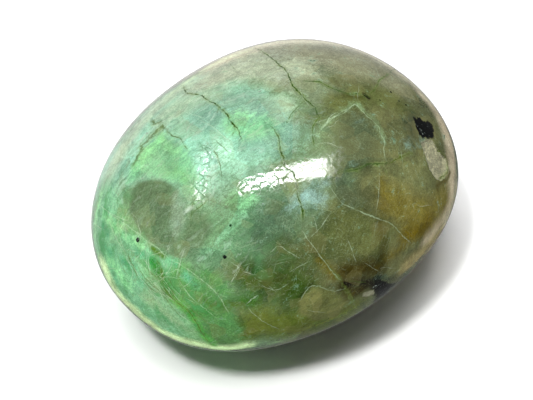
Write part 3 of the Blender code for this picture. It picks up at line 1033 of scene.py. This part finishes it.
def zone_fields(skin):
    """A field for each colour: half at a zone's edge, one deep inside it and none well outside."""
    fields = {name: np.zeros(len(skin)) for name in ZONE_COLOURS}
    for colour, radius, soft, strength, towards in zones:
        level = np.clip(0.5 + 0.5 * zone_depth(skin, towards, radius) / soft, 0, 1) * strength
        fields[colour] = np.maximum(fields[colour], level)
    return fields


def sink_holes(skin, fields, sunk):
    """The black pinholes and the rusty notch, in the colour fields and in the skin's depth."""
    for place, radius in pinholes:
        depth = radius - np.linalg.norm(skin - place, axis=1)
        fields["black"] = np.maximum(fields["black"], np.clip(0.5 + depth / radius, 0, 1))
        sunk = np.maximum(sunk, HOLE_DEPTH * radius * np.clip(depth / radius, 0, 1))
    depth = ribbon_field(skin, notch, NOTCH_RADIUS)
    fields["rust"] = np.maximum(fields["rust"], np.clip(0.5 + depth / NOTCH_RADIUS, 0, 1))
    return np.maximum(sunk, HOLE_DEPTH * np.clip(depth, 0, NOTCH_RADIUS))


def sink_pocket(skin, sunk):
    """The granular pocket: a shallow dish with a crisp rim and a floor of rounded grains."""
    for colour, radius, _, _, towards in zones:
        if colour == "grains":
            inside = np.clip(zone_depth(skin, towards, radius) / POCKET_SLOPE, 0, 1)
            for index in np.flatnonzero(inside > 0):
                gaps, _ = noise.voronoi(Vector(skin[index]) / POCKET_GRAIN)
                lump = LUMP_HEIGHT * (gaps[0] - LUMP_MIDDLE) * min(1, inside[index] / LUMPS_FULL)
                sunk[index] = POCKET_DEPTH * math.sqrt(inside[index]) + lump


def write_field(mesh, name, values):
    """Keeps three numbers at every point of a mesh for the material to read."""
    field = mesh.attributes.new(name, "FLOAT_VECTOR", "POINT")
    field.data.foreach_set("vector", values.ravel())


refine(stone, REFINE_REACH, True)
refine(stone, HOLLOW_REACH, False)

# The finished skin, sunk where it is hollow, with its lines and colour zones as attributes.
ball = read_points(stone.data)
skin = worn_skin(ball)
sunk = np.zeros(len(skin))
layers = layered_lines(skin, sunk)
fields = zone_fields(skin)
sunk = sink_holes(skin, fields, sunk)
sink_pocket(skin, sunk)
write_points(stone.data, skin - outward(ball) * sunk[:, None] + centre)
stone.data.shade_smooth()

for number, layer in enumerate(layers, 1):
    write_field(stone.data, "lines_%d" % number, layer)
zone_names = list(ZONE_COLOURS)
zone_sets = [zone_names[start:start + 3] for start in range(0, len(zone_names), 3)]
for number, names in enumerate(zone_sets, 1):
    packed = np.zeros((len(skin), 3))
    for column, name in enumerate(names):
        packed[:, column] = fields[name]
    write_field(stone.data, "zones_%d" % number, packed)


def linear(code):
    """A colour given as sRGB hex, as the linear RGBA that a socket takes."""
    channels = [int(code[start:start + 2], 16) / 255 for start in (1, 3, 5)]
    return [c / 12.92 if c <= 0.04045 else ((c + 0.055) / 1.055) ** 2.4 for c in channels] + [1.0]


def feed(tree, value, socket):
    """Links a node or a socket to an input, or sets it to a plain value."""
    if isinstance(value, bpy.types.Node):
        value = next(out for out in value.outputs if out.enabled)
    if isinstance(value, bpy.types.NodeSocket):
        tree.links.new(value, socket)
    else:
        socket.default_value = value


def add(tree, kind, links, **settings):
    """A new node with its settings. A link is a node, a socket or a plain value."""
    made = tree.nodes.new(kind)
    for name, value in settings.items():
        setattr(made, name, value)
    for name, value in links.items():
        feed(tree, value, made.inputs[name])
    return made


def feldspar_patterns(tree):
    """The patterns of the stone by name. Their space is the stone's own, in millimetres."""
    where = add(tree, "ShaderNodeTexCoord", {})
    plain = add(tree, "ShaderNodeMapping", {"Vector": where.outputs["Object"], "Scale": (1 / MM,) * 3})
    swirl = add(tree, "ShaderNodeTexNoise", {
        "Vector": plain, "Scale": 1 / SWIRL_SIZE, "Detail": SWIRL_DETAIL})
    pull = add(tree, "ShaderNodeVectorMath", {
        0: swirl.outputs["Color"], 1: (NOISE_MIDDLE,) * 3}, operation="SUBTRACT")
    spaces = {"plain": plain}
    for name, reach in SWIRL_REACHES.items():
        moved = add(tree, "ShaderNodeVectorMath", {0: pull, "Scale": reach}, operation="SCALE")
        spaces[name] = add(tree, "ShaderNodeVectorMath", {0: plain, 1: moved}, operation="ADD")

    patterns = {}
    for name, (space, size, detail, roughness) in NOISES.items():
        patterns[name] = add(tree, "ShaderNodeTexNoise", {
            "Vector": spaces[space], "Scale": 1 / size, "Detail": detail, "Roughness": roughness})
    for name, (space, lean, length, width, detail) in DRAWN_NOISES.items():
        lean = math.radians(lean)
        along = Vector(camera_right * math.cos(lean) + camera_up * math.sin(lean))
        across = Vector(camera_up * math.cos(lean) - camera_right * math.sin(lean))
        turn = Matrix((along, across, along.cross(across))).transposed().to_euler()
        sheets = add(tree, "ShaderNodeMapping", {
            "Vector": spaces[space], "Rotation": turn, "Scale": (length, width, width)},
            vector_type="TEXTURE")
        patterns[name] = add(tree, "ShaderNodeTexNoise", {
            "Vector": sheets, "Scale": 1.0, "Detail": detail, "Roughness": DRAWN_ROUGHNESS})
    for name, (space, size) in BLOCKS.items():
        cells = add(tree, "ShaderNodeTexVoronoi", {"Vector": spaces[space], "Scale": 1 / size})
        tones = add(tree, "ShaderNodeSeparateXYZ", {"Vector": cells.outputs["Color"]})
        patterns[name] = tones.outputs["X"]
        patterns[name + " warmth"] = tones.outputs["Y"]
    for name, (space, size) in SEAMS.items():
        patterns[name] = add(tree, "ShaderNodeTexVoronoi", {
            "Vector": spaces[space], "Scale": 1 / size}, feature="DISTANCE_TO_EDGE")
    for name, (pattern, begins, full, at_first, at_last) in READINGS.items():
        patterns[name] = add(tree, "ShaderNodeMapRange", {
            "Value": patterns[pattern], "From Min": begins, "From Max": full,
            "To Min": at_first, "To Max": at_last})
    return patterns


def zone_colours(tree, patterns):
    """The colour zones, laid one over another with ragged edges, and the level of each."""
    ragged = -sum(RAGGED.values()) * NOISE_MIDDLE
    for name, share in RAGGED.items():
        ragged = add(tree, "ShaderNodeMath", {
            0: patterns[name], 1: share, 2: ragged}, operation="MULTIPLY_ADD")
    colour = add(tree, "ShaderNodeMix", {
        "Factor": patterns["drift"], "A": linear(GROUND_SHADES[0]), "B": linear(GROUND_SHADES[1])},
        data_type="RGBA")
    levels = {}
    for number, names in enumerate(zone_sets, 1):
        read = add(tree, "ShaderNodeAttribute", {}, attribute_name="zones_%d" % number)
        parts = add(tree, "ShaderNodeSeparateXYZ", {"Vector": read.outputs["Vector"]})
        for column, name in enumerate(names):
            shade, soft, broken = ZONE_COLOURS[name]
            if shade is None:
                levels[name] = parts.outputs[column]
                continue
            level = add(tree, "ShaderNodeMath", {
                0: ragged, 1: broken, 2: parts.outputs[column]}, operation="MULTIPLY_ADD")
            levels[name] = add(tree, "ShaderNodeMapRange", {
                "Value": level, "From Min": 0.5 - soft, "From Max": 0.5 + soft},
                interpolation_type="SMOOTHSTEP")
            colour = add(tree, "ShaderNodeMix", {
                "Factor": levels[name], "A": colour, "B": linear(shade)}, data_type="RGBA")
    bare = add(tree, "ShaderNodeMath", {0: levels["black"], 1: levels["grains"]}, operation="MAXIMUM")
    levels["feldspar"] = add(tree, "ShaderNodeMath", {0: 1.0, 1: bare}, operation="SUBTRACT")
    for name, (inside, pattern, begins, full) in PARTLY.items():
        here = add(tree, "ShaderNodeMapRange", {
            "Value": patterns[pattern], "From Min": begins, "From Max": full})
        levels[name] = add(tree, "ShaderNodeMath", {0: here, 1: levels[inside]}, operation="MULTIPLY")
    return colour, levels


def clouding(tree, patterns, levels, colour):
    """Lighter and darker blocks, blotches and grit, then the veils of silk, scratches and craze."""
    for pattern, darkest, lightest, inside in TONES:
        tone = add(tree, "ShaderNodeMapRange", {
            "Value": patterns[pattern], "From Min": TONE_ENDS[pattern][0], "From Max": TONE_ENDS[pattern][1],
            "To Min": darkest, "To Max": lightest})
        colour = add(tree, "ShaderNodeMix", {
            "Factor": levels[inside], "A": colour, "B": tone.outputs["Result"]},
            data_type="RGBA", blend_type="MULTIPLY")
    for pattern, begins, full, strength, inside, shade in VEILS:
        veil = add(tree, "ShaderNodeMapRange", {
            "Value": patterns[pattern], "From Min": begins, "From Max": full, "To Max": strength})
        veil = add(tree, "ShaderNodeMath", {0: veil, 1: levels[inside]}, operation="MULTIPLY")
        colour = add(tree, "ShaderNodeMix", {
            "Factor": veil, "A": colour, "B": linear(shade)}, data_type="RGBA")
    return colour


def line_tint(tree, position):
    """The colour at a position on the line scale."""
    tint = add(tree, "ShaderNodeValToRGB", {"Fac": position})
    stops = tint.color_ramp.elements
    while len(stops) < len(LINE_TINTS):
        stops.new(0.5)
    for stop, (place, code) in zip(stops, LINE_TINTS):
        stop.position = place
        stop.color = linear(code)
    return tint.outputs["Color"]


def drawn_lines(tree, patterns, colour):
    """The cracks, veins and hairs, layer over layer, and how deep the dark ones are cut."""
    wobble = add(tree, "ShaderNodeMath", {0: patterns["wobble"], 1: -NOISE_MIDDLE}, operation="ADD")
    groove = 0.0
    for number in range(1, LINE_LAYERS + 1):
        read = add(tree, "ShaderNodeAttribute", {}, attribute_name="lines_%d" % number)
        parts = add(tree, "ShaderNodeSeparateXYZ", {"Vector": read.outputs["Vector"]})
        distance, weight, tint = parts.outputs
        strength = add(tree, "ShaderNodeMath", {
            0: weight, 1: patterns["line strength"]}, operation="MULTIPLY")
        off = add(tree, "ShaderNodeMath", {0: wobble, 1: LINE_WOBBLE, 2: distance}, operation="MULTIPLY_ADD")
        away = add(tree, "ShaderNodeMath", {0: off}, operation="ABSOLUTE")
        thinned = add(tree, "ShaderNodeMath", {0: away, 1: patterns["line thinness"]}, operation="MULTIPLY")
        core = add(tree, "ShaderNodeMapRange", {
            "Value": thinned, "From Min": LINE_CORE[0], "From Max": LINE_CORE[1]})
        core = add(tree, "ShaderNodeMath", {0: core, 1: strength}, operation="MULTIPLY")
        is_dark = add(tree, "ShaderNodeMapRange", {
            "Value": tint, "From Min": DARK_TINTS[0], "From Max": DARK_TINTS[1]})
        is_light = add(tree, "ShaderNodeMath", {0: 1.0, 1: is_dark}, operation="SUBTRACT")

        # One side of a light vein is a little darker, as the block there lies deeper.
        reach, full, share, shade = VEIN_SHADE
        one_side = add(tree, "ShaderNodeMath", {0: off, 1: 0.0}, operation="GREATER_THAN")
        beside = add(tree, "ShaderNodeMapRange", {
            "Value": off, "From Min": reach, "From Max": full, "To Max": share})
        for amount in (one_side, weight, is_light):
            beside = add(tree, "ShaderNodeMath", {0: beside, 1: amount}, operation="MULTIPLY")
        colour = add(tree, "ShaderNodeMix", {
            "Factor": beside, "A": colour, "B": linear(shade)}, data_type="RGBA")

        # A dark crack has stained green and pale healed edges here and there.
        for reach, full, share, shade in CRACK_EDGES:
            edge = add(tree, "ShaderNodeMapRange", {
                "Value": away, "From Min": reach, "From Max": full, "To Max": share})
            for amount in (is_dark, strength, patterns["stained places"]):
                edge = add(tree, "ShaderNodeMath", {0: edge, 1: amount}, operation="MULTIPLY")
            colour = add(tree, "ShaderNodeMix", {
                "Factor": edge, "A": colour, "B": linear(shade)}, data_type="RGBA")

        colour = add(tree, "ShaderNodeMix", {
            "Factor": core, "A": colour, "B": line_tint(tree, tint)}, data_type="RGBA")
        cut = add(tree, "ShaderNodeMath", {0: core, 1: is_dark}, operation="MULTIPLY")
        groove = add(tree, "ShaderNodeMath", {0: groove, 1: cut}, operation="MAXIMUM")
    return colour, groove


def polished_feldspar():
    """Green feldspar with a tumbled polish: a wet gloss over cloudy, crazed, veined colour."""
    material = bpy.data.materials.new("polished_green_feldspar")
    material.use_nodes = True
    tree = material.node_tree
    surface = tree.nodes["Principled BSDF"]
    surface.inputs["IOR"].default_value = FELDSPAR_IOR
    surface.inputs["Metallic"].default_value = 0.0
    patterns = feldspar_patterns(tree)
    colour, levels = zone_colours(tree, patterns)
    colour = clouding(tree, patterns, levels, colour)
    colour, levels["groove"] = drawn_lines(tree, patterns, colour)

    # Short dark squiggles where the polish is crazed, as under the bar's reflection.
    # Their dark colour is partly painted gaps in that reflection.
    levels["squiggle"] = add(tree, "ShaderNodeMath", {
        0: patterns["squiggle"], 1: levels["squiggled"]}, operation="MULTIPLY")
    share, shade = SQUIGGLES
    shown = add(tree, "ShaderNodeMath", {0: levels["squiggle"], 1: share}, operation="MULTIPLY")
    colour = add(tree, "ShaderNodeMix", {"Factor": shown, "A": colour, "B": linear(shade)}, data_type="RGBA")
    feed(tree, colour, surface.inputs["Base Color"])

    # Gloss: a wet polish, duller in smudges, and nearly none in cracks, squiggles and grains.
    gloss = patterns["smudged polish"]
    for name, share in ROUGHER.items():
        gloss = add(tree, "ShaderNodeMath", {0: levels[name], 1: share, 2: gloss}, operation="MULTIPLY_ADD")
    feed(tree, gloss, surface.inputs["Roughness"])
    hollow = add(tree, "ShaderNodeMath", {0: levels["groove"], 1: levels["squiggle"]}, operation="MAXIMUM")
    shine = add(tree, "ShaderNodeMapRange", {"Value": hollow, "To Min": SHINE[0], "To Max": SHINE[1]})
    feed(tree, shine, surface.inputs["Specular IOR Level"])

    # Relief too fine for the mesh: torn skin that breaks up the bar's reflection, grit and grains.
    height = add(tree, "ShaderNodeMath", {
        0: patterns["torn skin"], 1: levels["crazed"]}, operation="MULTIPLY")
    for raised, amount in (
            (patterns["grit"], GRIT_RELIEF),
            (levels["groove"], GROOVE_RELIEF),
            (patterns["rounded grains"], levels["grains"])):
        height = add(tree, "ShaderNodeMath", {0: raised, 1: amount, 2: height}, operation="MULTIPLY_ADD")
    relief = add(tree, "ShaderNodeBump", {"Strength": 1.0, "Distance": RELIEF_HEIGHT, "Height": height})
    feed(tree, relief, surface.inputs["Normal"])
    return material


stone.data.materials.clear()
stone.data.materials.append(polished_feldspar())
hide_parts("tumbled_stone")
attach(stone, "root")


def matt_white_card():
    """Matt white card: it bounces soft light and shows a plain shadow."""
    material = bpy.data.materials.new("matt_white_card")
    material.use_nodes = True
    surface = material.node_tree.nodes["Principled BSDF"]
    surface.inputs["Base Color"].default_value = linear("#f9f9f9")
    surface.inputs["Roughness"].default_value = 0.8
    surface.inputs["Specular IOR Level"].default_value = 0.0
    return material


# The polish doesn't show the board, but the room in its place.
bpy.ops.mesh.primitive_plane_add(size=BOARD_SIZE)
floor = bpy.context.object
floor.name = "floor"
floor.data.materials.append(matt_white_card())
floor.visible_glossy = False

camera = bpy.data.objects.new("camera", bpy.data.cameras.new("camera"))
bpy.context.scene.collection.objects.link(camera)
camera.location = camera_place
camera.rotation_euler = Vector(-camera_back).to_track_quat("-Z", "Y").to_euler()
camera.data.sensor_width = SENSOR_WIDTH
camera.data.lens = PIXELS_PER_METRE * VIEW_DISTANCE / IMAGE_SIZE[0] * SENSOR_WIDTH
camera.data.clip_start = CLIP_START
bpy.context.scene.camera = camera

for name, (way, distance, sides, long_way, radiance, use) in LAMPS.items():
    data = bpy.data.lights.new(name, "AREA")
    data.shape = "RECTANGLE"
    data.size, data.size_y = sides
    data.energy = radiance * math.pi * sides[0] * sides[1]
    lamp = bpy.data.objects.new(name, data)
    bpy.context.scene.collection.objects.link(lamp)
    x_axis = Vector(long_way).normalized()
    z_axis = (Vector(way) - x_axis * x_axis.dot(Vector(way))).normalized()
    turned = Matrix((x_axis, z_axis.cross(x_axis), z_axis)).transposed().to_4x4()
    lamp.matrix_world = Matrix.Translation(Vector(centre) + Vector(way) * distance) @ turned
    lamp.visible_glossy = use == "polish"
    lamp.visible_diffuse = use == "light"

world = bpy.data.worlds.new("studio")
bpy.context.scene.world = world
world.use_nodes = True
pale_way = unit(PALE_WAY[0] * camera_back + PALE_WAY[1] * camera_right + PALE_WAY[2] * camera_up)
way = add(world.node_tree, "ShaderNodeTexCoord", {})
behind = add(world.node_tree, "ShaderNodeVectorMath", {
    0: way.outputs["Generated"], 1: tuple(pale_way)}, operation="DOT_PRODUCT")
glow = add(world.node_tree, "ShaderNodeMapRange", {
    "Value": behind.outputs["Value"], "From Min": GLOW_COSINES[0], "From Max": GLOW_COSINES[1],
    "To Min": GLOW_STRENGTHS[0], "To Max": GLOW_STRENGTHS[1]})
background = world.node_tree.nodes["Background"]
background.inputs["Color"].default_value = (1, 1, 1, 1)
feed(world.node_tree, glow, background.inputs["Strength"])
bpy.context.scene.view_settings.view_transform = "Standard"
